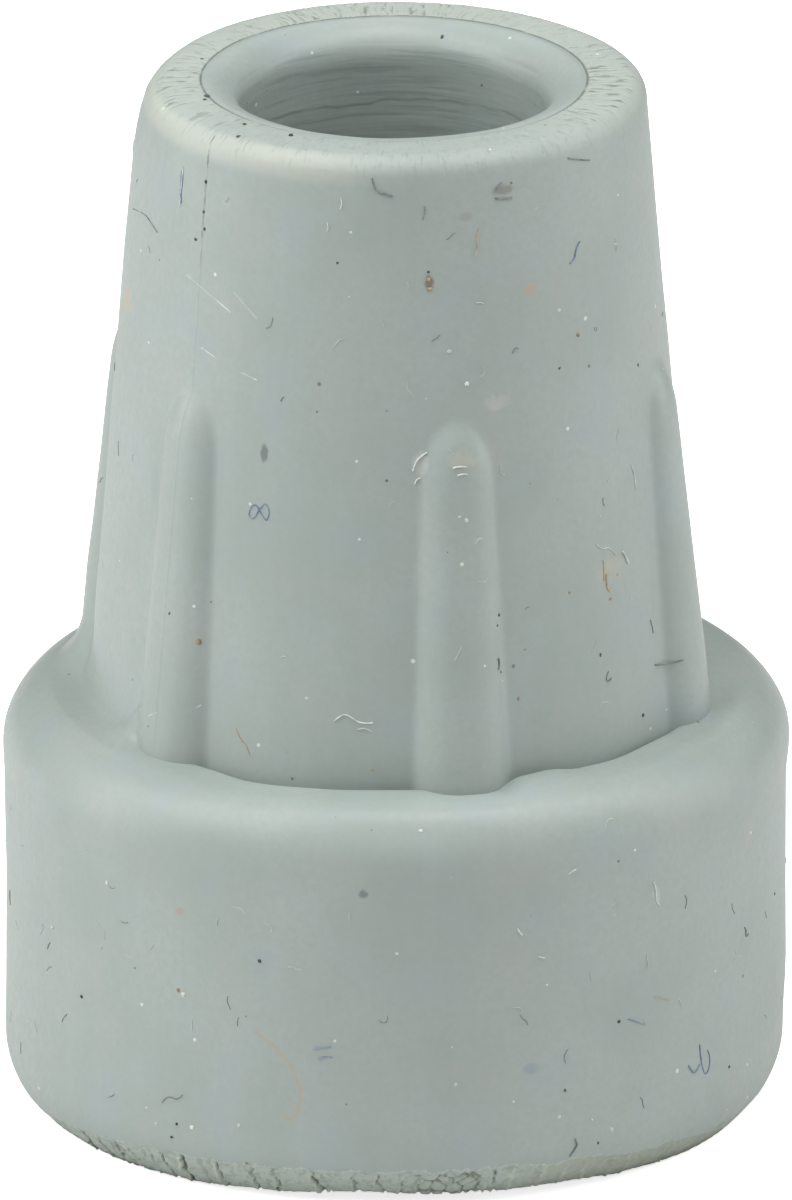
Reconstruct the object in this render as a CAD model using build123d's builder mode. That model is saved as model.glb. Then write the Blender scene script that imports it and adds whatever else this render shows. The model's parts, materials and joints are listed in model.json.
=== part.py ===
"""Rubber tip for a walking cane: one moulding with a ribbed, tapered neck on a wide round foot.

The shaft pushes into the blind bore from above, and the grooved sole stands on the ground.
Frame: +Z up along the bore, origin at the centre of the sole, a rib on the -Y side, millimetres.
"""

from build123d import *
from math import hypot
import os

# Overall sizes
height = 55.6
foot_radius = 20.5
bore_radius = 8.0
bore_depth = 42.0
bore_floor_round = 1.5  # between the bore's wall and its floor

# Mouth of the bore and the rim round it
mouth_flare = 2.0  # radius of the lead-in for the shaft
rim_radius = 13.1
rim_round = 1.1

# Neck, which widens evenly as it goes down to a crease
crease_radius = 16.0
crease_height = 21.9
neck_slope = (crease_radius - rim_radius) / (height - crease_height)
neck_start = 20.0  # the neck is carried on down to here inside the foot

# Foot: a lip stands a little above the crease, and the shoulder rolls down from it to the wall
shoulder_height = 22.5
shoulder_round = 3.9

# Sole: its outer edge curves up into the wall
sole_radius = 19.2
sole_edge_height = 3.0
sole_edge_arc = 4.1

# Tread: ring grooves moulded in the sole
tread_radii = (6.0, 10.5, 15.0)  # middle of each groove
tread_width = 1.8
tread_depth = 1.2

# Ribs: tapered round bars sunk in the neck, with ball ends at the top
rib_count = 6
rib_foot_height = 19.0  # inside the foot, below the start of the neck
rib_foot_radius = 3.05
rib_foot_stand = 1.35  # how far the crown stands off the neck
rib_head_height = 39.5  # centre of the ball end
rib_head_radius = 2.35
rib_head_stand = 0.75
rib_root_round = 0.8


def neck_radius(z):
    """Outer radius of the plain neck at a height, carried on below the crease."""
    return rim_radius + neck_slope * (height - z)


def on_neck(point):
    """Whether a point lies on the plain neck's outer surface."""
    return abs(hypot(point.X, point.Y) - neck_radius(point.Z)) < 0.001


bore_floor = height - bore_depth
shoulder_edge = foot_radius - shoulder_round  # radius at which the shoulder begins to roll over

# One rib: a tapered round bar leaning with the neck, on the -Y side
rib_foot_centre = neck_radius(rib_foot_height) + rib_foot_stand - rib_foot_radius
rib_head_centre = neck_radius(rib_head_height) + rib_head_stand - rib_head_radius
rib_foot_point = Vector(0, -rib_foot_centre, rib_foot_height)
rib_run = Vector(0, -rib_head_centre, rib_head_height) - rib_foot_point
rib_plane = Plane(origin=rib_foot_point, x_dir=rib_run, z_dir=(1, 0, 0))
with BuildPart() as rib:
    with BuildSketch(rib_plane):
        with BuildLine():
            Polyline((0, 0), (0, rib_foot_radius), (rib_run.length, rib_head_radius))
            RadiusArc(
                (rib_run.length, rib_head_radius),
                (rib_run.length + rib_head_radius, 0),
                rib_head_radius,
            )
            Line((rib_run.length + rib_head_radius, 0), (0, 0))
        make_face()
    revolve(axis=Axis(rib_foot_point, rib_run))

with BuildPart() as cane_tip:
    # Neck with its ribs, blended in along their roots
    with BuildSketch(Plane.XZ):
        with BuildLine():
            Polyline(
                (0, neck_start),
                (neck_radius(neck_start), neck_start),
                (rim_radius, height),
                (0, height),
                close=True,
            )
        make_face()
    revolve(axis=Axis.Z)
    with PolarLocations(0, rib_count):
        add(rib.part)
    curved_edges = cane_tip.edges().filter_by(GeomType.LINE, reverse=True)
    above_start = curved_edges.filter_by(lambda edge: neck_start + 1 < edge.center().Z < height - 1)
    fillet(above_start.filter_by(lambda edge: on_neck(edge @ 0.5)), rib_root_round)
    fillet(cane_tip.edges().group_by(Axis.Z)[-1], rim_round)

    # Foot, with the lip that stands over the crease
    with BuildSketch(Plane.XZ):
        with BuildLine():
            Polyline((0, crease_height), (0, 0), (sole_radius, 0))
            RadiusArc((sole_radius, 0), (foot_radius, sole_edge_height), -sole_edge_arc)
            Line((foot_radius, sole_edge_height), (foot_radius, shoulder_height - shoulder_round))
            RadiusArc(
                (foot_radius, shoulder_height - shoulder_round),
                (shoulder_edge, shoulder_height),
                -shoulder_round,
            )
            Polyline((shoulder_edge, shoulder_height), (crease_radius, crease_height), (0, crease_height))
        make_face()
    revolve(axis=Axis.Z)

    # Blind bore for the shaft, with its flared mouth and rounded floor
    with BuildSketch(Plane.XZ) as bore:
        with BuildLine():
            Line((0, bore_floor), (bore_radius - bore_floor_round, bore_floor))
            RadiusArc(
                (bore_radius - bore_floor_round, bore_floor),
                (bore_radius, bore_floor + bore_floor_round),
                -bore_floor_round,
            )
            Line((bore_radius, bore_floor + bore_floor_round), (bore_radius, height - mouth_flare))
            RadiusArc((bore_radius, height - mouth_flare), (bore_radius + mouth_flare, height), mouth_flare)
            Polyline((bore_radius + mouth_flare, height), (0, height), (0, bore_floor))
        make_face()
    revolve(axis=Axis.Z, mode=Mode.SUBTRACT)

    # Tread: ring grooves round the middle of the sole
    with BuildSketch(Plane.XZ):
        for radius in tread_radii:
            with Locations((radius, tread_depth / 2)):
                Rectangle(tread_width, tread_depth)
    revolve(axis=Axis.Z, mode=Mode.SUBTRACT)
cane_tip.part.label = "cane_tip"

os.makedirs("parts", exist_ok=True)
export_step(cane_tip.part, "parts/cane_tip.step")
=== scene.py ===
"""The looks of the rubber cane tip: its moulded skin, the lint and grit on it, floor, lamps and camera.

Lengths are written in millimetres and angles in degrees, and MM turns a length into metres.
An angle round the tip counts from the rib on the -Y side, positive towards +X.
"""

import json
from math import atan2, cos, degrees, exp, hypot, pi, radians, sin, sqrt, tan
from random import Random

import bmesh
import bpy
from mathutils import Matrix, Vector
from mathutils.noise import noise, voronoi


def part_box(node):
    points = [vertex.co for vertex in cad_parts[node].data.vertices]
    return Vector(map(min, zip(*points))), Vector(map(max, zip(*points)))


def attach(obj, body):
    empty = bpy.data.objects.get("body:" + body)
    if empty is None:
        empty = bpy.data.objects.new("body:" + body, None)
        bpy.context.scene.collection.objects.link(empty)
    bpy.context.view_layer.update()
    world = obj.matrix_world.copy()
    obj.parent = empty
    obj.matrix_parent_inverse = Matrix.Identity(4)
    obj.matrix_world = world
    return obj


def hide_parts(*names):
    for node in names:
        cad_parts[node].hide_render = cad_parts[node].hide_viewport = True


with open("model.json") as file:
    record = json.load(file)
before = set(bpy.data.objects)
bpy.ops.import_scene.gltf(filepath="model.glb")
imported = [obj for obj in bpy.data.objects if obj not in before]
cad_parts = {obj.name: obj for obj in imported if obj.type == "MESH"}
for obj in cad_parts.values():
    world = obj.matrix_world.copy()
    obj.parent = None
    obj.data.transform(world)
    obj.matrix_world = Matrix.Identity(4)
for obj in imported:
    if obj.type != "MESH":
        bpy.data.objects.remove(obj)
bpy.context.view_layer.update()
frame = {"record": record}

MM = 0.001
TURN = 360.0

# Sizes that the frame gives
tip_low, tip_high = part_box("cane_tip")
height = (tip_high[2] - tip_low[2]) / MM
foot_radius = (tip_high[0] - tip_low[0]) / 2 / MM
shaft_bore = next(mount for mount in frame["record"]["mounts"] if mount["name"] == "shaft_bore")
bore_radius = shaft_bore["dims"]["r_mm"]

# Neck
rim_radius = 13.1
rim_round = 1.1
mouth_flare = 2.0
bore_floor = 13.6
bore_floor_round = 1.5
neck_slope = 0.086
neck_start = 12.6  # the neck is carried on down to here inside the foot
seam_radius = 10.1  # ring where the smooth mouth meets the rough top of the rim

# Ribs
rib_spacing = 60.0
rib_foot_height = 20.0
rib_head_height = 38.3  # where the rounded end begins
rib_end = 3.2  # length of the rounded end
rib_foot_stand, rib_head_stand = 1.3, 0.75
rib_foot_half, rib_head_half = 2.65, 1.9
rib_squareness = 2.5  # 2 would be a round crown, more is flatter with steeper flanks
rib_root_blend = 0.07

# Foot
shoulder_height = 22.5
shoulder_round = 3.9
crest_radius = 16.15  # where the shoulder's crest meets the neck
pocket_radius = 12.0  # hidden pocket that the neck stands in
pocket_floor = 13.0
wall_waist = 0.03  # how much the wall is pulled in halfway up
sole_radius = 19.2
sole_edge_height = 3.0
sole_edge_arc = 4.1
edge_steps = 20
torn_limit = 2.75  # the torn band stays below this height
tread_radii = (6.0, 10.5, 15.0)
tread_width = 1.8
tread_depth = 1.2

segments = 288  # steps of a turned piece round the axis
same_point = 1e-6  # points closer than this, in metres, are one
weld = 0.02  # points this close are merged where the neck enters the foot

# The two sides that the camera sees in outline
left_turn = -103
right_turn = 85

# Where the torn band can be
band_inside = 18.4
band_fade = (18.5, 18.9)  # radii between which the tear begins


def neck_radius(z):
    """Outer radius of the plain neck at a height."""
    return rim_radius + neck_slope * (height - z)


def smooth(low, high, value):
    """0 below low, 1 above high, and an S between them."""
    t = min(max((value - low) / (high - low), 0.0), 1.0)
    return t * t * (3 - 2 * t)


def hump(value, middle, reach):
    """1 at the middle, falling smoothly to 0 at a distance."""
    return 1 - smooth(0, reach, abs(value - middle))


def round_noise(angle, lumps, level):
    """Noise round the tip without a jump at the back, with a number of lumps to a degree."""
    turn = radians(angle)
    reach = degrees(lumps)
    return noise(Vector((reach * cos(turn), reach * sin(turn), level)))


def turn_between(a, b):
    """Angle from b to a, between -180 and 180."""
    return (a - b + 180) % TURN - 180


def between(places, angle):
    """Value at an angle, read smoothly between (angle, value) pairs that go once round the tip."""
    ring = sorted(places)
    ring = [(ring[-1][0] - TURN, ring[-1][1])] + ring + [(ring[0][0] + TURN, ring[0][1])]
    for (a, low), (b, high) in zip(ring, ring[1:]):
        if a <= angle <= b:
            return low + (high - low) * smooth(a, b, angle)
    return ring[0][1]


# ---------------------------------------------------------------------------------------------
# Modelling by hand


def drop_selection():
    bpy.ops.object.select_all(action="DESELECT")


def edit(piece):
    """Goes into edit mode on one piece alone."""
    drop_selection()
    bpy.context.view_layer.objects.active = piece
    piece.select_set(True)
    bpy.ops.object.mode_set(mode="EDIT")


def leave_edit():
    bpy.ops.object.mode_set(mode="OBJECT")


def pick(piece, kind, wanted):
    """Selects the vertices, edges or faces ("verts", "edges", "faces") that a test accepts."""
    bpy.ops.mesh.select_mode(type={"verts": "VERT", "edges": "EDGE", "faces": "FACE"}[kind])
    bpy.ops.mesh.select_all(action="DESELECT")
    shape = bmesh.from_edit_mesh(piece.data)
    for element in getattr(shape, kind):
        if wanted(element):
            element.select_set(True)
    shape.select_flush_mode()
    bmesh.update_edit_mesh(piece.data)


def pen_down(name, start):
    """A new piece that is one point, in edit mode: a plane merged into its centre."""
    drop_selection()
    bpy.ops.mesh.primitive_plane_add(size=MM)
    piece = bpy.context.object
    piece.name = name
    bpy.ops.object.mode_set(mode="EDIT")
    bpy.ops.mesh.select_mode(type="VERT")
    bpy.ops.mesh.select_all(action="SELECT")
    bpy.ops.mesh.merge(type="CENTER")
    bpy.ops.transform.translate(value=start)
    return piece


def draw_on(points):
    """Draws a line on from the first point through the others."""
    for here, there in zip(points, points[1:]):
        bpy.ops.mesh.extrude_vertices_move(TRANSFORM_OT_translate={"value": there - here})


def round_corner(piece, corner, offset, steps):
    """Rounds the corner of a drawn line at a point, starting at a distance from it."""
    pick(piece, "verts", lambda vertex: (vertex.co - corner).length < 0.01 * MM)
    bpy.ops.mesh.bevel(affect="VERTICES", offset=offset * MM, segments=steps, profile=0.5)


def divide(piece, spacing):
    """Divides the drawn line's long runs into steps of about a spacing, given for a radius and height."""

    def steps(edge):
        middle = (edge.verts[0].co + edge.verts[1].co) / 2 / MM
        return int(edge.calc_length() / MM / spacing(middle.x, middle.z))

    counts = {steps(edge) for edge in bmesh.from_edit_mesh(piece.data).edges}
    for count in sorted(counts - {0}, reverse=True):
        pick(piece, "edges", lambda edge: steps(edge) == count)
        bpy.ops.mesh.subdivide(number_cuts=count)


def apply_modifier(piece, kind, **settings):
    drop_selection()
    bpy.context.view_layer.objects.active = piece
    piece.select_set(True)
    bpy.ops.object.modifier_add(type=kind)
    modifier = piece.modifiers[-1]
    for key, value in settings.items():
        setattr(modifier, key, value)
    bpy.ops.object.modifier_apply(modifier=modifier.name)


def turned(name, corners, spacing):
    """A solid turned round the bore's axis.

    Each corner is (radius, height) or (radius, height, round, steps), and the first and last are on the axis.
    """
    points = [Vector((corner[0] * MM, 0, corner[1] * MM)) for corner in corners]
    piece = pen_down(name, points[0])
    draw_on(points)
    for before, point, after, corner in zip(points, points[1:], points[2:], corners[1:]):
        if len(corner) == 4:
            bend = (point - before).angle(after - point)
            round_corner(piece, point, corner[2] * tan(bend / 2), corner[3])
    divide(piece, spacing)
    leave_edit()
    apply_modifier(
        piece,
        "SCREW",
        steps=segments,
        render_steps=segments,
        use_merge_vertices=True,
        merge_threshold=same_point,
    )
    edit(piece)
    bpy.ops.mesh.select_all(action="SELECT")
    bpy.ops.mesh.remove_doubles(threshold=same_point)
    bpy.ops.mesh.normals_make_consistent(inside=False)
    leave_edit()
    return piece


def push(piece, name, by, weight, direction="NORMAL"):
    """Moves the surface by up to a distance, as far as a weight for (angle, radius, height) says."""
    group = piece.vertex_groups.new(name=name)
    group.remove(range(len(piece.data.vertices)))  # joining pieces can leave old weights behind
    for vertex in piece.data.vertices:
        x, y, z = vertex.co / MM
        amount = weight(degrees(atan2(x, -y)), hypot(x, y), z)
        if amount > 0.001:
            group.add([vertex.index], min(amount, 1.0), "REPLACE")
    apply_modifier(piece, "DISPLACE", strength=by * MM, mid_level=0, direction=direction, vertex_group=name)
    piece.vertex_groups.remove(piece.vertex_groups[name])


def paint(piece, name, weight):
    """Writes a value for (angle, radius, height) on every vertex, for a material to read."""
    values = piece.data.attributes.new(name, "FLOAT", "POINT")
    for vertex, value in zip(piece.data.vertices, values.data):
        x, y, z = vertex.co / MM
        value.value = weight(degrees(atan2(x, -y)), hypot(x, y), z)


def cut_across(piece, cuts, where):
    """Cuts the rings of faces where a test of (radius, height) holds into more faces round the axis."""

    def along_ring(edge):
        a, b = (vertex.co / MM for vertex in edge.verts)
        level = abs(a.z - b.z) < 0.001 and abs(hypot(a.x, a.y) - hypot(b.x, b.y)) < 0.01
        return level and where(hypot(a.x, a.y), a.z)

    edit(piece)
    pick(piece, "edges", along_ring)
    bpy.ops.mesh.subdivide(number_cuts=cuts)
    leave_edit()


def roughen(piece, name, by, grain):
    """Gives the surface a soft unevenness, by a height, with lumps of a size."""
    lumps = bpy.data.textures.new(name, "CLOUDS")
    lumps.noise_scale = grain * MM
    lumps.noise_depth = 2
    apply_modifier(piece, "DISPLACE", texture=lumps, texture_coords="LOCAL", strength=by * MM, mid_level=0.5)


# ---------------------------------------------------------------------------------------------
# The skin of the tip


def rib_height(angle, z):
    """How far the nearest rib stands off the neck."""
    if z > rib_head_height + 1.5 * rib_end:
        return 0.0
    run = min(max((z - rib_foot_height) / (rib_head_height - rib_foot_height), 0.0), 1.0)
    stand = rib_foot_stand + (rib_head_stand - rib_foot_stand) * run
    half = rib_foot_half + (rib_head_half - rib_foot_half) * run
    across = radians(turn_between(angle, rib_spacing * round(angle / rib_spacing))) * neck_radius(z)
    out = hypot(across / half, max(z - rib_head_height, 0.0) / rib_end)
    crown = stand * (1 - out**rib_squareness)
    # a soft maximum of the crown and the bare neck blends the root
    return (crown + sqrt(crown * crown + rib_root_blend * stand * stand * 0.25)) / 2 * smooth(1.75, 1.2, out)


def neck():
    """The neck: ribbed cone, rounded rim, flared mouth and the blind bore."""
    corners = [
        (0, neck_start),
        (neck_radius(neck_start), neck_start),
        (neck_radius(rib_foot_height), rib_foot_height),
        (neck_radius(rib_head_height - 2), rib_head_height - 2),
        (neck_radius(rib_head_height + 4.2), rib_head_height + 4.2),
        (rim_radius, height, rim_round, 7),
        (bore_radius, height, mouth_flare, 10),
        (bore_radius, bore_floor, bore_floor_round, 5),
        (0, bore_floor),
    ]

    def spacing(radius, z):
        if z < rib_foot_height - 2 or radius < bore_radius + 0.1:
            return 3.0
        if z > height - 0.1:
            return 0.25
        return 0.4 if -2 < z - rib_head_height < 4.2 else 0.9

    piece = turned("neck", corners, spacing)

    def on_neck(radius, z):
        return radius > rim_radius - rim_round / 2 and z > rib_foot_height - 1

    cut_across(piece, 1, lambda radius, z: on_neck(radius, z) and z < rib_head_height + 4.1)
    cut_across(piece, 2, lambda radius, z: radius > seam_radius - 0.4 and z > height - 0.7)
    push(piece, "ribs", 1.5, lambda a, r, z: rib_height(a, z) / 1.5 if on_neck(r, z) else 0)
    return piece


# How far the crest of the shoulder lies below its nominal height, round the tip
crest_drop = [
    (-150, 0.1), (-110, 0.0), (-75, 0.1), (-60, 0.3), (-50, 0.4), (-40, 0.62), (-25, 0.52), (-12, 0.42),
    (0, 0.55), (6, 0.6), (11, 0.15), (16, 0.08), (23, 0.38), (31, 0.45), (42, 0.35), (52, 0.45), (64, 0.3),
    (80, 0.0), (120, 0.0), (170, 0.15),
]

# How far the sole's edge is worn up, round the tip
edge_wear = [
    (-70, 0.0), (-58, 0.02), (-46, 0.1), (-33, 0.3), (-18, 0.6), (-3, 0.46), (14, 0.4), (25, 0.2), (40, 0.0),
    (180, 0.0),
]

# Height of the upper border of the torn band along the sole's edge
torn_top = [
    (-150, 1.3), (-110, 0.7), (-82, 0.6), (-70, 1.15), (-58, 1.6), (-45, 1.95), (-25, 2.2), (0, 2.25),
    (15, 2.05), (30, 1.55), (45, 1.05), (60, 0.75), (90, 0.8), (140, 1.5), (175, 1.0),
]

# Splits in the torn band: angle, lean to the right going down, depth
splits = [
    (-67.4, 0.5, 3.0), (-63.0, 0.4, 1.0), (-59.4, 0.4, 1.0), (-52.3, 0.3, 0.6), (-49.7, 0.6, 0.9),
    (-46.2, 0.1, 1.6), (-42.9, 0.2, 0.6), (-40.2, 0.5, 1.0), (-34.8, -0.1, 0.9), (-31.0, 0.1, 0.8),
    (-24.8, 0.8, 1.2), (-23.2, 0.3, 0.6), (-18.8, 0.1, 0.8), (-15.2, 0.7, 1.0), (-12.0, 0.2, 0.7),
    (-9.4, 0.3, 0.7), (2.3, 0.3, 0.9), (8.5, 0.2, 0.5), (33.0, 0.2, 0.6), (41.0, -0.2, 0.6),
    (74.0, 0.4, 0.9), (79.0, -0.2, 0.7), (88.0, 0.3, 1.1), (101.0, 0.0, 0.8), (107.0, 0.5, 0.6),
    (118.0, 0.2, 1.2), (126.0, -0.3, 0.8), (131.0, 0.4, 0.9), (143.0, 0.1, 1.3), (152.0, 0.5, 0.7),
    (163.0, -0.2, 1.0), (171.0, 0.3, 0.8), (-174.0, 0.2, 1.2), (-166.0, 0.5, 0.7), (-151.0, 0.1, 1.0),
    (-143.0, 0.4, 0.8), (-132.0, -0.3, 0.9), (-121.0, 0.3, 0.7), (-104.0, 0.2, 0.8), (-91.0, 0.5, 0.7),
]
split_width = 0.065
pale_lines = (0.8, 4.8, 9.8, 13.5, 17.0, 22.0, 25.0)  # thin raised lines across the band


def foot():
    """The foot: grooved sole, upright wall and the shoulder that rolls over to the neck."""
    corners = [(0, 0)]
    for radius in tread_radii:
        near, far = radius - tread_width / 2, radius + tread_width / 2
        corners += [(near, 0, 0.2, 2), (near, tread_depth, 0.3, 1)]
        corners += [(far, tread_depth, 0.3, 1), (far, 0, 0.2, 2)]
    corners.append((sole_radius, 0))
    arc_middle = foot_radius - sole_edge_arc
    for step in range(1, edge_steps + 1):
        z = sole_edge_height * step / edge_steps
        corners.append((arc_middle + sqrt(sole_edge_arc**2 - (sole_edge_height - z) ** 2), z))
    corners += [
        (foot_radius, shoulder_height, shoulder_round, 18),
        (crest_radius, shoulder_height, 0.45, 5),
        (crest_radius, shoulder_height - 1.2),
        (pocket_radius, shoulder_height - 1.2),
        (pocket_radius, pocket_floor),
        (0, pocket_floor),
    ]

    def spacing(radius, z):
        if radius < crest_radius - 0.1 and z > 0.1 or radius < 5:
            return 3.0
        if z < 0.1:
            return 1.2
        return 0.25 if z > shoulder_height - shoulder_round else 1.0

    piece = turned("foot", corners, spacing)

    def crest(angle, radius, z):
        reach = smooth(19.3, 17.0, radius) * smooth(shoulder_height - 3.0, shoulder_height - 1.0, z)
        return between(crest_drop, angle) * reach

    push(piece, "crest", -1.0, crest, "Z")
    return piece


def torn_band(angle, radius, z):
    """How far into the torn band along the sole's edge a place is, from 0 to 1."""
    ragged = 0.22 * round_noise(angle, 0.35, 3.0) + 0.12 * round_noise(angle, 1.1, 8.0)
    top = between(torn_top, angle) + ragged
    return smooth(top + 0.07, top - 0.07, z) * smooth(*band_fade, radius)


def split_at(angle, radius, z):
    """How far open the torn band is: more than 0 in a split, less than 0 on its raised left lip."""
    top = between(torn_top, angle)
    wobble = 0.3 * round_noise(angle, 0.5, 5.0 + 2.6 * z)
    opened = 0.0
    for place, lean, depth in splits:
        across = radians(turn_between(angle, place)) * foot_radius
        if abs(across) < 2.0:
            across += 0.35 * lean * (z - 1.3) + wobble
            wide = split_width * (0.6 + 0.4 * depth)
            reach = top - 0.45 * max(1.0 - depth, 0.0)
            long = smooth(reach + 0.1, reach - 0.2, z)
            opened = max(opened, depth * long * exp(-((across / wide) ** 2)), key=abs)
            lip = -0.6 * min(depth, 1.2) * long * exp(-(((across + 2.1 * wide) / wide) ** 2))
            if abs(lip) > abs(opened):
                opened = lip
    for place in pale_lines:
        across = radians(turn_between(angle, place)) * foot_radius + wobble
        lip = -0.6 * exp(-((across / 0.08) ** 2)) * smooth(top, top - 0.2, z)
        if abs(lip) > abs(opened):
            opened = lip
    # a net of short splits where the edge has crumbled
    net = hump(angle, -4.5, 10) + 0.55 * hump(angle, -57, 9)
    net += 0.5 * hump(angle, 100, 30) + 0.5 * hump(angle, -160, 30)
    if net > 0.05:
        turn = radians(angle)
        spot = Vector((1.2 * foot_radius * cos(turn), 1.2 * foot_radius * sin(turn), 1.5 * z))
        near, next_near = voronoi(spot)[0][:2]
        gap = exp(-(((next_near - near) / 0.1) ** 2)) * min(net * 1.3, 1.0) * smooth(top, top - 0.3, z)
        if gap > abs(opened):
            opened = gap
    return opened * smooth(*band_fade, radius)


def tip_skin():
    """The whole skin: foot and neck in one closed mesh, with the crease where they meet."""
    skin = foot()
    upper = neck()
    apply_modifier(skin, "BOOLEAN", operation="UNION", object=upper, solver="EXACT")
    drop_selection()
    upper.select_set(True)
    bpy.ops.object.delete()
    skin.name = "rubber_tip"
    edit(skin)
    bpy.ops.mesh.select_all(action="SELECT")
    bpy.ops.mesh.remove_doubles(threshold=weld * MM)
    leave_edit()
    cut_across(skin, 3, lambda radius, z: radius > 18.7 and z < torn_limit)

    # the crease is filled in softly on the -X side
    def in_fillet(vertex):
        x, y, z = vertex.co / MM
        angle = degrees(atan2(x, -y))
        near = 15 < hypot(x, y) < 18.0 and -2.3 < z - shoulder_height < 1.5
        return near and abs(turn_between(angle, left_turn)) < 37

    edit(skin)
    pick(skin, "verts", in_fillet)
    bpy.ops.mesh.vertices_smooth(factor=0.5, repeat=160)
    leave_edit()

    def waist(angle, radius, z):
        return hump(z, 10.0, 8.0) if radius > foot_radius - 0.2 else 0

    def wear(angle, radius, z):
        return between(edge_wear, angle) * smooth(13.5, 18.8, radius) * smooth(2.6, 0.4, z)

    def bulge(angle, radius, z):
        return hump(turn_between(angle, -82), 0, 42) * hump(z, 1.6, 4.0) * smooth(16.5, 18.5, radius)

    def torn(angle, radius, z):
        if radius < band_inside or z > torn_limit:
            return 0
        grain = 0.35 * round_noise(angle, 0.9, 2.6 * z) + 0.2 * round_noise(angle, 2.2, 4.0 + 6.0 * z)
        return torn_band(angle, radius, z) * (0.75 + grain)

    def low(angle, radius, z):
        return radius > band_inside and z < torn_limit

    def fuller(angle, radius, z):
        side = hump(turn_between(angle, right_turn), 0, 75) + 0.3 * hump(turn_between(angle, -100), 0, 60)
        return side * smooth(17.0, 19.0, radius) * smooth(17.0, 20.5, z) * smooth(23.0, 22.0, z)

    def right_wall(angle, radius, z):
        level = smooth(3.0, 7.0, z) * smooth(21.5, 17.5, z)
        return hump(turn_between(angle, right_turn), 0, 60) * level if radius > 20 else 0

    def left_side(angle, radius, z):
        level = (0.5 + 0.5 * smooth(30, 48, z)) * smooth(23.5, 28, z) * smooth(54.3, 52, z)
        return hump(turn_between(angle, left_turn), 0, 60) * level if radius > 12.5 else 0

    def soft_corner(angle, radius, z):
        side = hump(turn_between(angle, -115), 0, 80)
        return side * smooth(11.6, 12.8, radius) * smooth(54.0, 55.0, z)

    push(skin, "fuller shoulder", 0.4, fuller)
    push(skin, "right wall", 0.16, right_wall)
    push(skin, "left side of the neck", 0.22, left_side)
    push(skin, "soft corner", -0.25, soft_corner)
    push(skin, "waist", -wall_waist, waist)
    push(skin, "wear", 1.0, wear, "Z")
    push(skin, "bulge", 0.07, bulge)
    paint(skin, "torn", lambda a, r, z: torn_band(a, r, z) if low(a, r, z) else 0)
    paint(skin, "split", lambda a, r, z: split_at(a, r, z) if low(a, r, z) else 0)
    push(skin, "torn step", -0.09, torn)
    push(skin, "open splits", -0.42, lambda a, r, z: split_at(a, r, z) / 3 if low(a, r, z) else 0)
    push(skin, "lips", 0.12, lambda a, r, z: -split_at(a, r, z) if low(a, r, z) else 0)

    def seam(angle, radius, z):
        faint = 0.45 + 0.55 * smooth(15, 50, abs(angle + 10))
        return hump(radius, seam_radius, 0.22) * faint if z > height - 0.6 else 0

    def split_rim(angle, radius, z):
        if radius < seam_radius or z < height - 0.7:
            return 0
        return rim_split(angle, radius) * smooth(seam_radius, seam_radius + 0.2, radius)

    push(skin, "seam ring", -0.09, seam)
    push(skin, "rim splits", -0.07, split_rim)
    paint(skin, "rim split", split_rim)
    roughen(skin, "unevenness", 0.14, 9.0)
    drop_selection()
    skin.select_set(True)
    bpy.context.view_layer.objects.active = skin
    bpy.ops.object.shade_smooth_by_angle(angle=radians(45))
    return skin


def rim_split(angle, radius):
    """How split the top of the rim is: short cracks that run outwards, worst on the +X side."""
    sides = (hump(angle, 75, 62), 0.7 * hump(angle, -95, 55), 0.6 * hump(abs(angle), 165, 40))
    worst = 0.25 + 0.75 * max(sides)
    lines = round_noise(angle, 0.85, 0.9 * radius) + 0.6 * round_noise(angle, 1.9, 2.0 * radius)
    return smooth(0.08, 0.38, lines) * worst * smooth(13.0, 12.2, radius)


# ---------------------------------------------------------------------------------------------
# Materials


class Socket:
    """An output of a node in a finish. Arithmetic on it adds Math nodes."""

    def __init__(self, finish, output):
        self.finish = finish
        self.output = output

    def math(self, operation, *others):
        return self.finish.node("ShaderNodeMath", {"operation": operation}, dict(enumerate((self,) + others)))

    def __add__(self, other):
        return self.math("ADD", other)

    def __sub__(self, other):
        return self.math("SUBTRACT", other)

    def __mul__(self, other):
        return self.math("MULTIPLY", other)

    def __truediv__(self, other):
        return self.math("DIVIDE", other)

    def __rsub__(self, other):
        return self * -1 + other

    def __neg__(self):
        return self * -1

    def __abs__(self):
        return self.math("ABSOLUTE")

    def __pow__(self, other):
        return self.math("POWER", other)

    __radd__ = __add__
    __rmul__ = __mul__

    def rise(self, low, high):
        """0 below low, 1 above high, and an S between them. It falls if high is the smaller."""
        if low > high:
            return 1 - self.rise(high, low)
        return self.finish.node(
            "ShaderNodeMapRange",
            {"interpolation_type": "SMOOTHSTEP"},
            {"Value": self, "From Min": low, "From Max": high},
        )

    def bell(self, middle, reach):
        """1 at the middle, falling smoothly to 0 at a distance."""
        return abs(self - middle).rise(reach, 0)


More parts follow.
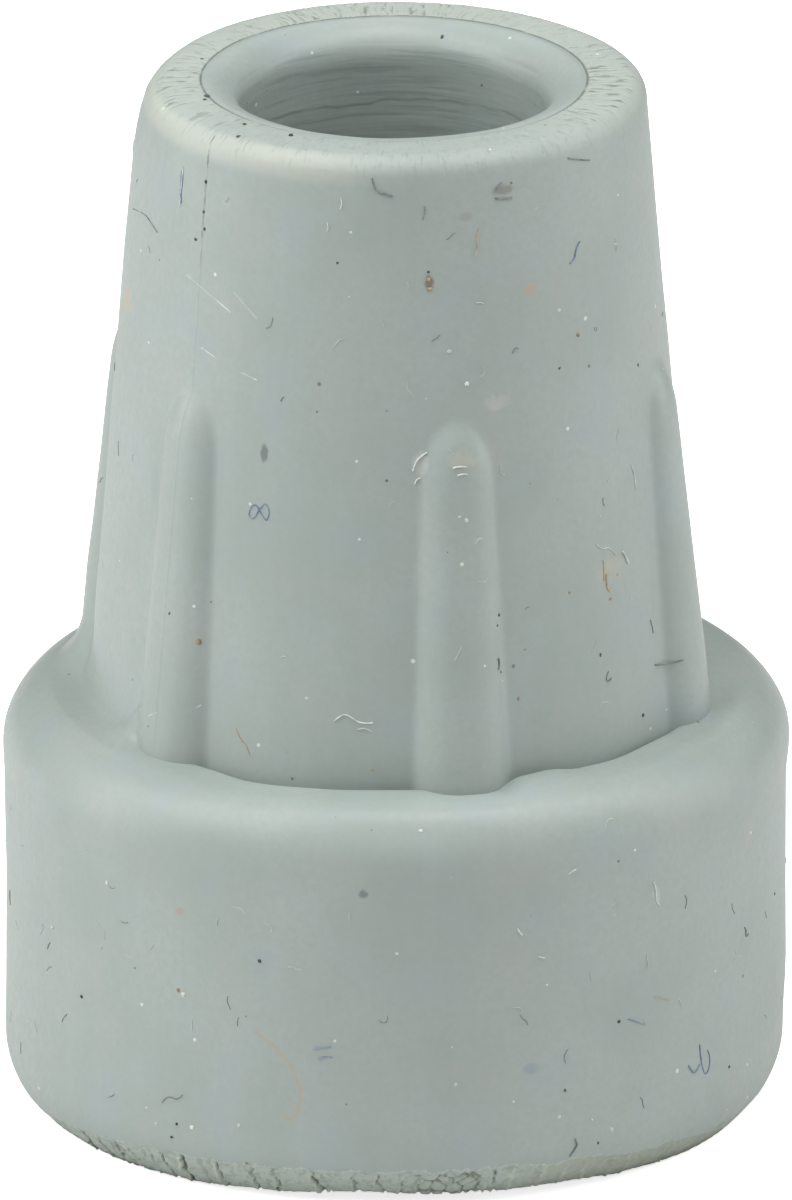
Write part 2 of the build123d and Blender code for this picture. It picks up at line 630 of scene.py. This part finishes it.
class Finish:
    """A material being made, or the given world."""

    def __init__(self, name, world=None):
        self.material = world or bpy.data.materials.new(name)
        self.material.use_nodes = True
        self.tree = self.material.node_tree
        self.tree.nodes.clear()

    def node(self, kind, settings=None, sockets=None, output=0):
        """Adds a node: its settings first, then the values or links of its sockets."""
        node = self.tree.nodes.new(kind)
        for key, value in (settings or {}).items():
            setattr(node, key, value)
        for key, value in (sockets or {}).items():
            if isinstance(value, Socket):
                self.tree.links.new(value.output, node.inputs[key])
            else:
                node.inputs[key].default_value = value
        return Socket(self, node.outputs[output]) if node.outputs else None

    def mix(self, amount, first, second, blend="MIX"):
        """Mixes two colours."""
        settings = {"data_type": "RGBA", "blend_type": blend}
        return self.node("ShaderNodeMix", settings, {0: amount, 6: first, 7: second}, 2)

    def place(self):
        """Object coordinates in millimetres: the vector, and its x, y and z."""
        coordinates = self.node("ShaderNodeTexCoord", output="Object")
        vector = self.node("ShaderNodeVectorMath", {"operation": "SCALE"}, {0: coordinates, "Scale": 1 / MM})
        parts = [self.node("ShaderNodeSeparateXYZ", None, {0: vector}, axis) for axis in range(3)]
        return vector, parts

    def moved(self, vector, shift):
        """The same place, as far as a pattern goes, a number of millimetres away."""
        by = (shift, shift * 0.7, -shift)
        return self.node("ShaderNodeVectorMath", {"operation": "ADD"}, {0: vector, 1: by})

    def attribute(self, name):
        """A value painted on the piece's own mesh."""
        return self.node("ShaderNodeAttribute", {"attribute_name": name}, output="Fac")

    def vector(self, x, y, z=0.0):
        return self.node("ShaderNodeCombineXYZ", None, {0: x, 1: y, 2: z})

    def grain(self, vector, scale, detail=2.0, roughness=0.5):
        """Noise between about 0 and 1, with a number of lumps per millimetre."""
        sockets = {"Vector": vector, "Scale": scale, "Detail": detail, "Roughness": roughness}
        return self.node("ShaderNodeTexNoise", None, sockets)

    def cells(self, vector, scale):
        """Distance to the nearest of some scattered points, and a number that each point has for itself."""
        away = self.node("ShaderNodeTexVoronoi", None, {"Vector": vector, "Scale": scale})
        own = Socket(self, away.output.node.outputs["Color"])
        return away, self.node("ShaderNodeSeparateColor", None, {0: own})

    def surface(self, colour, roughness, height=None, specular=0.5):
        """Ends the material in a Principled shader. Height is a bump in millimetres."""
        sockets = {"Base Color": colour, "Roughness": roughness, "Specular IOR Level": specular}
        if height is not None:
            bump = {"Height": height, "Distance": MM, "Strength": 1.0}
            sockets["Normal"] = self.node("ShaderNodeBump", None, bump)
        shader = self.node("ShaderNodeBsdfPrincipled", None, sockets)
        self.node("ShaderNodeOutputMaterial", None, {"Surface": shader})
        return self.material


def colour(red, green, blue):
    """A colour written as 0 to 255 on a screen, as linear values."""

    def linear(value):
        value /= 255
        return value / 12.92 if value <= 0.04045 else ((value + 0.055) / 1.055) ** 2.4

    return (linear(red), linear(green), linear(blue), 1.0)


def grey_rubber():
    """Satin sage-grey rubber with specks, stains, a rough rim and a torn lower edge."""
    rubber = Finish("grey_rubber")
    vector, (x, y, z) = rubber.place()
    radius = (x * x + y * y) ** 0.5
    angle = x.math("ARCTAN2", -y) * degrees(1)
    along = angle * radians(1) * radius  # millimetres round the tip
    side, front = x / radius, y / radius

    def round_grain(lumps, level, detail=2.0, roughness=0.5):
        """Noise round the tip without a jump at the back, with a number of lumps to a degree."""
        reach = degrees(lumps)
        return rubber.grain(rubber.vector(side * reach, front * reach, level), 1.0, detail, roughness)

    # the moulded colour: faint clouds, a fine mottle, faint upright streaks
    cloud = rubber.grain(vector, 0.13)
    mottle = rubber.grain(vector, 2.6, 3.0, 0.65)
    hue = rubber.grain(rubber.moved(vector, 40.0), 0.3)
    streak = round_grain(0.3, z * 0.06)
    base = rubber.mix(cloud.rise(0.3, 0.7), colour(160, 171, 166), colour(168, 178, 173))
    base = rubber.mix(mottle.rise(0.3, 0.7) * 0.45, base, colour(155, 166, 161))
    base = rubber.mix(streak.rise(0.4, 0.75) * 0.16, base, colour(171, 179, 175))
    base = rubber.mix(hue.rise(0.52, 0.75) * 0.3, base, colour(160, 173, 180))
    base = rubber.mix(hue.rise(0.46, 0.25) * 0.22, base, colour(176, 174, 168))
    bump = mottle * 0.007

    # rough, finely split top of the rim, outside the seam ring, with painted shade in its splits and a
    # painted highlight on its rounded edge
    rim = radius.rise(seam_radius - 0.05, seam_radius + 0.05) * z.rise(height - 1.3, height - 0.3)
    hair = round_grain(1.1, radius * 1.1, 2.0, 0.7)
    split = rubber.attribute("rim split")
    fine_splits = hair.rise(0.57, 0.64) * rim * (0.3 + split)
    crumb = rubber.grain(vector, 3.2, 2.0, 0.65)
    bump = bump - fine_splits * 0.03 + crumb * rim * 0.03
    away_from_front = abs(angle + 10).rise(25, 80)
    base = rubber.mix(rim * (away_from_front * 0.35 + 0.08), base, colour(188, 195, 184))
    # painted highlight: a pale band on the rim's rounded outer edge, strongest about 62 degrees towards -X
    rim_highlight = radius.rise(12.2, 12.7) * z.rise(height - 1.7, height - 0.9) * abs(angle + 62).rise(60, 20)
    base = rubber.mix(rim_highlight * 0.4, base, colour(206, 209, 194))
    # painted shade: the rim's splits and fine splits are coloured darker than the rubber
    base = rubber.mix(split.rise(0.3, 0.8) * 0.6, base, colour(108, 112, 100))
    base = rubber.mix(fine_splits * 0.6, base, colour(122, 126, 114))
    ring = radius.bell(seam_radius, 0.12) * z.rise(height - 0.4, height - 0.1)
    patchy = round_grain(0.12, 0.0).rise(0.2, 0.5)
    base = rubber.mix(ring * patchy * (away_from_front * 0.6 + 0.2), base, colour(88, 96, 88))

    # fine rings left by the core pin on the bore's wall, a dark wavy line round it 3.4 mm below the top, and
    # painted shade over the whole bore
    bore = radius.rise(bore_radius + 0.5, bore_radius + 0.1) * z.rise(bore_floor, bore_floor + 0.5)
    rings = round_grain(0.025, z * 3.4, 3.0, 0.65)
    drawn = round_grain(0.06, z * 1.6)
    bump = bump + rings * bore * 0.015
    base = rubber.mix(rings.rise(0.5, 0.7) * bore * 0.35, base, colour(186, 192, 190))
    base = rubber.mix(rings.rise(0.5, 0.35) * bore * 0.35, base, colour(124, 132, 126))
    waver = round_grain(0.03, 3.0) * 1.2
    mark = (z + waver - (height - 3.4)).bell(0, 0.16) * bore * drawn.rise(0.35, 0.6)
    base = rubber.mix(mark * 0.4, base, colour(80, 88, 84))
    # painted shade: the whole bore is tinted darker
    base = rubber.mix(bore * 0.12, base, colour(110, 124, 114))

    # torn band along the sole's edge, with painted shade in its splits and painted highlights on their raised
    # lips
    torn = rubber.attribute("torn")
    open_split = rubber.attribute("split")
    crumbly = rubber.grain(vector, 2.4, 2.0, 0.65)
    bump = bump + (crumbly - 0.5) * torn * 0.09
    base = rubber.mix(torn * 0.65, base, colour(180, 190, 179))
    base = rubber.mix(torn * crumbly.rise(0.55, 0.35) * 0.4, base, colour(130, 140, 128))
    border = torn.bell(0.35, 0.35)
    base = rubber.mix(border * crumbly.rise(0.35, 0.55) * 0.55, base, colour(206, 210, 202))
    # painted shade in the splits and in the gaps of the crumbled net
    base = rubber.mix(open_split.rise(0.12, 0.8) * torn * 0.65, base, colour(98, 102, 88))
    # painted highlight on the raised left lips of the splits and on the thin raised lines
    base = rubber.mix(open_split.rise(-0.1, -0.5) * torn * 0.45, base, colour(208, 208, 192))
    soiled = abs(angle - 28).rise(26, 6) * torn
    base = rubber.mix(soiled * crumbly.rise(0.35, 0.65) * 0.5, base, colour(140, 138, 108))
    # painted shade: the lowest half millimetre of the foot's outer edge is darker, where the surface turns
    # down towards the floor
    painted_shade_below = z.rise(0.5, 0.1) * radius.rise(15, 18)
    base = rubber.mix(painted_shade_below * 0.5, base, colour(110, 118, 104))

    # specks of dust, each of its own size
    for shift, scale, tint, strength in ((0.0, 0.8, (224, 226, 218), 0.8), (31.0, 0.62, (88, 90, 86), 0.7)):
        away, chance = rubber.cells(rubber.moved(vector, shift), scale)
        size = chance * chance * chance * 0.12 * scale
        base = rubber.mix((size - away).rise(-0.008, 0.012) * strength, base, colour(*tint))

    # where the mould's halves met, with dirt in it near the rim
    for seam_angle in (-60, 120):
        line = abs((angle - seam_angle) * radians(1) * radius + (mottle - 0.5) * 0.2).rise(0.1, 0.02)
        line = line * z.rise(21, 24) * radius.rise(rim_radius - 0.9, rim_radius - 0.3)
        dirt = rubber.grain(rubber.vector(angle, z * 1.3), 1.0, 2.0).rise(0.42, 0.6) * z.rise(48, 50)
        bump = bump + line * 0.012
        base = rubber.mix(line * (dirt * 0.6 + 0.06), base, colour(100, 98, 88))

    # stains and smudges: angle, height, reach round and up, tint, strength
    fuzz = (mottle - 0.5) * 1.6
    outside = radius.rise(bore_radius + 1.5, bore_radius + 3)
    for place, level, wide, tall, tint, strength in smudges:
        across = (along - radius * radians(place)) * (1 / wide)
        up = (z - level) * (1 / tall)
        spot = (across * across + up * up + fuzz).rise(1.0, 0.1) * outside
        base = rubber.mix(spot * strength, base, colour(*tint))

    # the hook-shaped stain, and the pale scratches
    arc = angle * (radians(1) * foot_radius)
    for points, wide, tint, strength in strokes:
        for (a, low), (b, high) in zip(points, points[1:]):
            run_x, run_z = radians(b - a) * foot_radius, high - low
            square = run_x**2 + run_z**2
            from_x = arc - radians(a) * foot_radius
            from_z = z - low
            share = from_x * (run_x / square) + from_z * (run_z / square)
            share = share.math("MINIMUM", 1.0).math("MAXIMUM", 0.0)
            off_x = from_x - share * run_x
            off_z = from_z - share * run_z
            away = (off_x * off_x + off_z * off_z) ** 0.5 + fuzz * wide * 0.35
            base = rubber.mix(away.rise(wide, wide * 0.3) * strength, base, colour(*tint))

    rough = 0.37 + (mottle - 0.5) * 0.2 + torn * 0.3 + rim * 0.15
    return rubber.surface(base, rough, bump, 0.45)


# angle, height, reach round and up in millimetres, tint, strength
smudges = [
    (-91.0, 44.5, 0.9, 0.9, (196, 168, 128), 0.5),
    (-95.0, 43.6, 0.5, 0.7, (190, 160, 120), 0.4),
    (18.0, 48.0, 0.5, 0.4, (190, 160, 128), 0.5),
    (-5.4, 49.0, 0.32, 0.55, (120, 100, 84), 0.7),
    (-40.7, 39.4, 0.28, 0.65, (104, 112, 112), 0.75),
    (-17.5, 17.8, 0.3, 0.3, (110, 116, 120), 0.75),
    (7.4, 7.6, 0.6, 0.4, (128, 142, 160), 0.45),
    (12.0, 53.6, 0.8, 0.35, (110, 104, 96), 0.5),
    (3.0, 52.4, 0.5, 0.3, (150, 150, 150), 0.5),
    (-70.0, 36.0, 0.5, 1.3, (150, 160, 156), 0.4),
    (28.8, 15.8, 0.35, 0.7, (196, 200, 196), 0.5),
    (35.0, 32.0, 1.3, 0.9, (186, 182, 160), 0.35),
    (9.0, 42.3, 0.9, 0.5, (192, 194, 184), 0.4),
    (0.5, 39.6, 0.9, 0.6, (188, 188, 172), 0.45),
    (-7.6, 39.4, 0.5, 0.8, (194, 199, 190), 0.5),
    (-46.0, 15.6, 0.35, 0.3, (176, 140, 128), 0.5),
]

# points as (angle, height), half width, tint, strength
strokes = [
    (
        [(-33.5, 9.6), (-30.9, 9.0), (-28.3, 8.0), (-26.7, 6.7), (-27.1, 5.55), (-28.3, 4.95), (-29.4, 5.1)],
        0.17, (176, 164, 138), 0.5,
    ),
    ([(-50.0, 47.6), (-44.0, 46.5)], 0.08, (200, 206, 200), 0.4),
]


# ---------------------------------------------------------------------------------------------
# Lint and grit

# Each hair: half width, then its points as (angle, height)
hairs = {
    "lint_dark": [
        (0.045, (-17.9, 54.6), (-17.6, 54.1), (-16.2, 53.8), (-14.7, 53.8), (-13.3, 53.65)),
        (0.05, (10.0, 53.2), (11.7, 53.1), (14.2, 53.1)),
        (0.04, (10.3, 53.6), (10.9, 53.9), (11.9, 54.0)),
        (0.035, (-6.2, 53.1), (-6.0, 52.8), (-6.7, 52.4)),
        (0.04, (30.0, 54.5), (33.4, 54.2), (37.0, 54.0)),
        (0.035, (-92.7, 49.2), (-84.0, 49.7), (-80.0, 49.5), (-76.5, 49.2)),
        (0.04, (47.4, 25.8), (51.0, 25.5), (54.0, 25.6)),
        (0.035, (32.8, 26.6), (31.8, 26.3), (32.4, 26.0), (33.4, 26.2)),
        (0.05, (6.9, 28.8), (7.3, 28.5), (6.9, 28.2)),
        (0.035, (50.3, 11.7), (50.9, 11.6), (50.7, 11.0), (51.6, 11.2)),
        (0.05, (14.4, 3.3), (14.9, 3.0), (14.3, 2.7), (13.6, 2.35)),
        (0.03, (-49.2, 4.7), (-48.3, 5.2), (-46.5, 5.0), (-45.6, 5.4)),
        (0.03, (13.0, 44.8), (13.6, 45.2), (14.4, 45.0)),
    ],
    "lint_blue": [
        (0.045, (32.0, 49.9), (30.7, 49.6), (30.2, 49.0), (28.7, 48.9)),
        (0.035, (-43.4, 36.3), (-43.9, 35.9), (-42.6, 35.7), (-41.2, 36.4), (-40.0, 36.8), (-38.9, 36.3),
         (-39.6, 35.7), (-41.0, 36.2), (-42.4, 36.7), (-43.4, 36.3)),
        (0.045, (35.7, 5.6), (36.4, 5.2), (37.4, 5.0), (38.3, 5.4)),
        (0.035, (38.3, 6.5), (38.6, 5.5), (39.6, 4.6), (40.6, 4.9), (40.9, 5.6), (40.2, 6.0)),
        (0.035, (-24.8, 9.0), (-23.7, 9.15), (-22.2, 9.2)),
        (0.035, (-24.2, 8.5), (-23.0, 8.7), (-22.0, 8.6)),
        (0.03, (23.6, 9.3), (24.7, 9.15), (26.4, 8.8)),
        (0.04, (-68.6, 53.1), (-68.3, 52.2), (-67.7, 51.4)),
        (0.03, (-67.9, 53.0), (-67.6, 52.2), (-68.2, 51.3)),
    ],
    "lint_pale": [
        (0.04, (-68.2, 53.3), (-67.9, 52.3), (-68.1, 51.2)),
        (0.035, (-64.0, 47.75), (-58.0, 47.3), (-50.5, 46.5)),
        (0.03, (-58.0, 44.2), (-51.0, 43.6), (-43.0, 43.2)),
        (0.03, (-25.0, 53.5), (-24.4, 53.2), (-25.0, 52.9)),
        (0.03, (-28.0, 52.1), (-27.4, 51.8), (-28.1, 51.6)),
        (0.04, (-24.4, 25.5), (-23.0, 25.9), (-21.5, 25.85), (-19.5, 25.4), (-17.0, 25.5)),
        (0.03, (-20.0, 25.1), (-18.4, 25.3), (-17.2, 25.0)),
        (0.06, (39.0, 32.7), (39.9, 32.4), (40.7, 31.9)),
        (0.045, (5.3, 15.5), (5.5, 15.3), (6.0, 15.1)),
        (0.04, (13.3, 18.1), (13.9, 18.3), (14.5, 18.3)),
        (0.045, (28.2, 16.6), (28.8, 16.1), (28.6, 15.5), (29.4, 15.2)),
        (0.04, (8.5, 13.8), (9.0, 13.7), (9.6, 13.65)),
        (0.03, (-62.0, 24.2), (-58.5, 24.9), (-55.0, 24.6), (-52.0, 25.3)),
        (0.03, (31.5, 33.6), (33.2, 33.1), (35.0, 33.3), (37.0, 32.6)),
        (0.035, (44.0, 37.0), (45.3, 36.3), (45.0, 35.6)),
        (0.03, (20.0, 20.2), (20.6, 20.6), (21.6, 20.5)),
        (0.03, (27.0, 12.6), (27.5, 12.2), (27.2, 11.8)),
        (0.05, (-1.4, 39.3), (-0.3, 39.4), (1.2, 39.3)),
        (0.045, (-0.6, 38.9), (0.6, 39.0), (1.4, 38.9)),
        (0.05, (-9.2, 39.0), (-8.6, 39.5), (-7.4, 39.8), (-6.2, 40.0)),
        (0.04, (-8.8, 38.3), (-8.2, 38.7), (-7.6, 38.6)),
        (0.035, (2.6, 35.2), (3.2, 35.5), (4.0, 35.4)),
    ],
    "lint_orange": [
        (0.045, (33.9, 31.8), (33.7, 31.2), (34.4, 30.8), (35.2, 30.9)),
        (0.035, (33.2, 32.6), (33.6, 32.1), (33.1, 31.5)),
        (0.035, (28.6, 10.1), (29.8, 10.0), (31.4, 9.7)),
        (0.035, (6.0, 51.7), (5.2, 51.2), (5.8, 50.8), (4.9, 50.3)),
        (0.03, (-42.9, 23.8), (-42.0, 23.6), (-41.3, 23.1)),
        (0.03, (-44.6, 24.4), (-43.8, 24.0), (-42.9, 23.7)),
    ],
}

# Each crumb: angle, height, half width
crumbs = {
    "grit_pale": [
        (2.5, 43.5, 0.13), (25.0, 46.6, 0.12), (44.0, 49.0, 0.12), (-54.0, 30.6, 0.09), (-30.0, 26.6, 0.1),
        (-45.5, 11.0, 0.14), (-43.5, 8.6, 0.13), (-44.0, 3.7, 0.12), (-36.3, 4.3, 0.1), (-50.2, 3.4, 0.12),
        (20.6, 3.4, 0.14), (-4.0, 7.1, 0.12), (4.7, 5.9, 0.09), (11.8, 4.7, 0.12), (17.2, 4.2, 0.1),
        (52.0, 16.8, 0.1), (-12.6, 14.5, 0.1), (-1.2, 45.3, 0.12), (-60.0, 16.0, 0.12), (-74.0, 12.0, 0.12),
        (60.0, 41.0, 0.1), (-0.4, 36.7, 0.1), (0.9, 36.5, 0.11), (36.0, 36.7, 0.12), (33.0, 35.0, 0.1),
        (41.0, 30.0, 0.09), (-9.0, 21.0, 0.1),
    ],
    "grit_dark": [
        (7.8, 31.0, 0.12), (7.2, 30.5, 0.09), (42.0, 23.5, 0.13), (22.0, 9.3, 0.1), (-46.6, 3.7, 0.12),
        (12.8, 6.1, 0.1), (18.3, 2.8, 0.09), (-62.0, 49.8, 0.12), (-60.0, 53.0, 0.1), (-25.5, 50.0, 0.09),
        (-5.5, 49.6, 0.1), (50.0, 42.0, 0.09), (-33.0, 13.6, 0.1), (-66.0, 9.0, 0.1), (31.0, 27.6, 0.1),
        (-14.5, 38.5, 0.08), (24.4, 43.5, 0.09), (63.0, 12.0, 0.09), (-47.5, 2.9, 0.1), (46.0, 4.4, 0.09),
        (-60.0, 51.4, 0.11), (-59.4, 50.5, 0.08), (-58.8, 30.0, 0.1),
    ],
    "grit_rust": [
        (-5.6, 49.2, 0.16), (-5.2, 48.7, 0.14), (-53.0, 28.7, 0.17), (11.5, 26.3, 0.13), (14.2, 53.9, 0.1),
        (-46.4, 11.15, 0.11), (30.0, 45.0, 0.12), (7.6, 28.0, 0.09), (34.5, 30.4, 0.1), (-17.0, 23.0, 0.1),
        (24.0, 31.4, 0.08), (13.3, 28.9, 0.1),
    ],
}

# Crumbs on top of the rim: angle, radius, half width
rim_crumbs = [
    (-43.0, 10.7, 0.16), (-54.0, 12.3, 0.12), (-86.0, 10.2, 0.16), (-83.0, 10.5, 0.12), (-59.0, 10.8, 0.12),
    (150.0, 8.6, 0.12), (-120.0, 10.5, 0.1),
]


def on_skin(skin, angle, level, lift):
    """A point on the skin at an angle and height, and the way out of the skin there."""
    out = Vector((sin(radians(angle)), -cos(radians(angle)), 0))
    start = out * 40 * MM + Vector((0, 0, level * MM))
    _, point, normal, _ = skin.ray_cast(start, -out)
    return point + normal * lift * MM, normal


def on_rim(skin, angle, radius, lift):
    out = Vector((sin(radians(angle)), -cos(radians(angle)), 0))
    _, point, normal, _ = skin.ray_cast(out * radius * MM + Vector((0, 0, 80 * MM)), Vector((0, 0, -1)))
    return point + normal * lift * MM, normal


def hair(skin, half_width, *places):
    """One fibre: drawn from place to place, smoothed, and given its thickness."""
    points = [on_skin(skin, angle, level, half_width * 0.6)[0] for angle, level in places]
    piece = pen_down("hair", points[0])
    draw_on(points)
    leave_edit()
    bpy.ops.object.convert(target="CURVE")
    piece = bpy.context.object
    bpy.ops.object.mode_set(mode="EDIT")
    bpy.ops.curve.select_all(action="SELECT")
    bpy.ops.curve.spline_type_set(type="NURBS")
    leave_edit()
    line = piece.data
    line.splines[0].order_u = 3
    line.splines[0].use_endpoint_u = True
    line.resolution_u = 5
    line.bevel_depth = half_width * MM
    line.bevel_resolution = 1
    line.use_fill_caps = True
    bpy.ops.object.convert(target="MESH")
    return bpy.context.object


def stray(skin, draw):
    """A short stray hair somewhere on the side of the tip, curled a little."""
    angle, level = draw.uniform(-180, 180), draw.choice((draw.uniform(24, 53), draw.uniform(4, 17)))
    way = draw.uniform(0, TURN)
    places = []
    for _ in range(draw.choice((3, 4))):
        places.append((angle, level))
        angle += degrees(draw.uniform(0.2, 0.35) * cos(radians(way)) / foot_radius)
        level += draw.uniform(0.2, 0.35) * sin(radians(way))
        way += draw.uniform(-70, 90)
    return hair(skin, draw.uniform(0.016, 0.028), *places)


def crumb(place, half_width, draw):
    """One grain of grit: a small ball with its corners pushed about, sunk a little into the skin."""
    point, normal = place
    drop_selection()
    bpy.ops.mesh.primitive_ico_sphere_add(subdivisions=1, radius=half_width * MM)
    piece = bpy.context.object
    bpy.ops.object.mode_set(mode="EDIT")
    bpy.ops.mesh.select_all(action="SELECT")
    bpy.ops.transform.resize(value=(draw.uniform(0.7, 1.3), draw.uniform(0.7, 1.3), draw.uniform(0.5, 0.8)))
    bpy.ops.transform.vertex_random(offset=half_width * 0.3 * MM, seed=draw.randrange(1, 1000))
    leave_edit()
    piece.rotation_euler = normal.to_track_quat("Z", "X").to_euler()
    piece.location = point
    bpy.ops.object.transform_apply(location=True, rotation=True, scale=True)
    return piece


def joined(name, pieces, finish):
    """Joins pieces into one with one finish, and fixes it to the tip."""
    drop_selection()
    for piece in pieces:
        piece.select_set(True)
    bpy.context.view_layer.objects.active = pieces[0]
    bpy.ops.object.join()
    piece = bpy.context.object
    piece.name = name
    bpy.ops.object.transform_apply(location=True, rotation=True, scale=True)
    bpy.ops.object.shade_smooth_by_angle(angle=radians(50))
    piece.data.materials.clear()
    piece.data.materials.append(finish)
    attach(piece, "root")
    return piece


def dirt_finish(name, light, dark, rough):
    """Fibre or grit whose colour changes from place to place."""
    dirt = Finish(name)
    vector, _ = dirt.place()
    shade = dirt.grain(vector, 2.2, 3.0, 0.6)
    base = dirt.mix(shade.rise(0.35, 0.65), colour(*light), colour(*dark))
    return dirt.surface(base, rough + shade * 0.1, dirt.grain(vector, 9.0) * 0.01, 0.3)


def lint_and_grit(skin):
    """The hairs and crumbs that lie on the skin."""
    finishes = {
        "lint_dark": ((142, 149, 147), (102, 110, 112), 0.7),
        "lint_blue": ((150, 164, 182), (110, 127, 154), 0.7),
        "lint_pale": ((222, 226, 220), (186, 194, 190), 0.7),
        "lint_orange": ((198, 188, 158), (178, 158, 138), 0.7),
        "fuzz_pale": ((196, 203, 198), (180, 189, 184), 0.7),
        "fuzz_dark": ((142, 150, 148), (122, 130, 128), 0.7),
        "grit_pale": ((230, 230, 222), (196, 202, 194), 0.6),
        "grit_dark": ((104, 106, 102), (66, 66, 64), 0.6),
        "grit_rust": ((186, 172, 138), (146, 122, 102), 0.6),
    }
    draw = Random(12)
    for name, lines in hairs.items():
        joined(name, [hair(skin, *line) for line in lines], dirt_finish(name, *finishes[name]))
    for name, count in (("fuzz_pale", 95), ("fuzz_dark", 65)):
        joined(name, [stray(skin, draw) for _ in range(count)], dirt_finish(name, *finishes[name]))
    for name, places in crumbs.items():
        grains = [crumb(on_skin(skin, angle, level, 0), half, draw) for angle, level, half in places]
        if name == "grit_dark":
            grains += [crumb(on_rim(skin, *place, 0), half, draw) for *place, half in rim_crumbs]
        joined(name, grains, dirt_finish(name, *finishes[name]))


# ---------------------------------------------------------------------------------------------
# Surroundings

camera_azimuth = -13.0
camera_elevation = 20.0
camera_distance = 1500.0
camera_lens = 857.0
camera_film = 36.0
aim_height = 26.6
aim_right = 0.1

floor_size = 6.0
floor_glow = 0.75  # how white the camera sees the floor where no lamp reaches
faint_light = 0.03


def direction(azimuth, elevation):
    """Unit vector to a place round the tip, with azimuth 0 at the camera and positive to its right."""
    a, e = radians(azimuth + camera_azimuth), radians(elevation)
    return Vector((sin(a) * cos(e), -cos(a) * cos(e), sin(e)))


def aim(thing, at):
    thing.rotation_euler = (at - thing.location).to_track_quat("-Z", "Y").to_euler()


def lamp(name, azimuth, elevation, distance, wide, tall, strength):
    """A soft box. Strength is how brightly a white surface that faces it would show."""
    data = bpy.data.lights.new(name, "AREA")
    data.shape = "RECTANGLE"
    data.size = wide * MM
    data.size_y = tall * MM
    data.energy = strength * (pi * distance * MM) ** 2
    thing = bpy.data.objects.new(name, data)
    bpy.context.scene.collection.objects.link(thing)
    middle = Vector((0, 0, height / 2 * MM))
    thing.location = middle + direction(azimuth, elevation) * distance * MM
    aim(thing, middle)


def pale_floor():
    """A white floor that keeps the tip's soft shadow."""
    drop_selection()
    bpy.ops.mesh.primitive_plane_add(size=floor_size)
    floor = bpy.context.object
    floor.name = "floor"
    white = Finish("floor_white")
    seen = white.node("ShaderNodeLightPath", output="Is Camera Ray")
    shader = white.node(
        "ShaderNodeBsdfPrincipled",
        None,
        {
            "Base Color": (0.85, 0.85, 0.85, 1.0),
            "Roughness": 0.9,
            "Specular IOR Level": 0.1,
            "Emission Color": white.mix(seen, (0, 0, 0, 1), (1, 1, 1, 1)),
            "Emission Strength": floor_glow,
        },
    )
    white.node("ShaderNodeOutputMaterial", None, {"Surface": shader})
    floor.data.materials.append(white.material)


def white_world():
    """A faint even light from all round, which the camera sees as white."""
    world = bpy.data.worlds.new("surroundings")
    light = Finish("surroundings", world)
    seen = light.node("ShaderNodeLightPath", output="Is Camera Ray")
    level = light.node("ShaderNodeMapRange", None, {"Value": seen, "To Min": faint_light, "To Max": 1.0})
    shader = light.node("ShaderNodeBackground", None, {"Color": (1, 1, 1, 1), "Strength": level})
    light.node("ShaderNodeOutputWorld", None, {"Surface": shader})
    bpy.context.scene.world = world


def camera():
    data = bpy.data.cameras.new("camera")
    data.sensor_width = camera_film
    data.lens = camera_lens
    data.clip_end = 20.0
    thing = bpy.data.objects.new("camera", data)
    bpy.context.scene.collection.objects.link(thing)
    middle = Vector((0, 0, aim_height * MM)) + direction(90, 0) * aim_right * MM
    thing.location = middle + direction(0, camera_elevation) * camera_distance * MM
    aim(thing, middle)
    bpy.context.scene.camera = thing


skin = tip_skin()
skin.data.materials.clear()
skin.data.materials.append(grey_rubber())
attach(skin, "root")
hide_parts("cane_tip")
lint_and_grit(skin)

pale_floor()
white_world()
lamp("left high softbox", -65, 50, 450, 320, 320, 0.51)
lamp("left low softbox", -88, 15, 450, 320, 400, 0.46)
lamp("right high softbox", 77, 57, 450, 280, 280, 0.39)
lamp("right low softbox", 95, 15, 500, 280, 400, 0.32)
lamp("top softbox", 0, 85, 450, 250, 250, 0.36)
lamp("front fill", 0, 35, 600, 400, 400, 0.14)
lamp("back fill", 180, 50, 450, 350, 300, 0.12)
camera()

scene = bpy.context.scene
scene.view_settings.view_transform = "Standard"
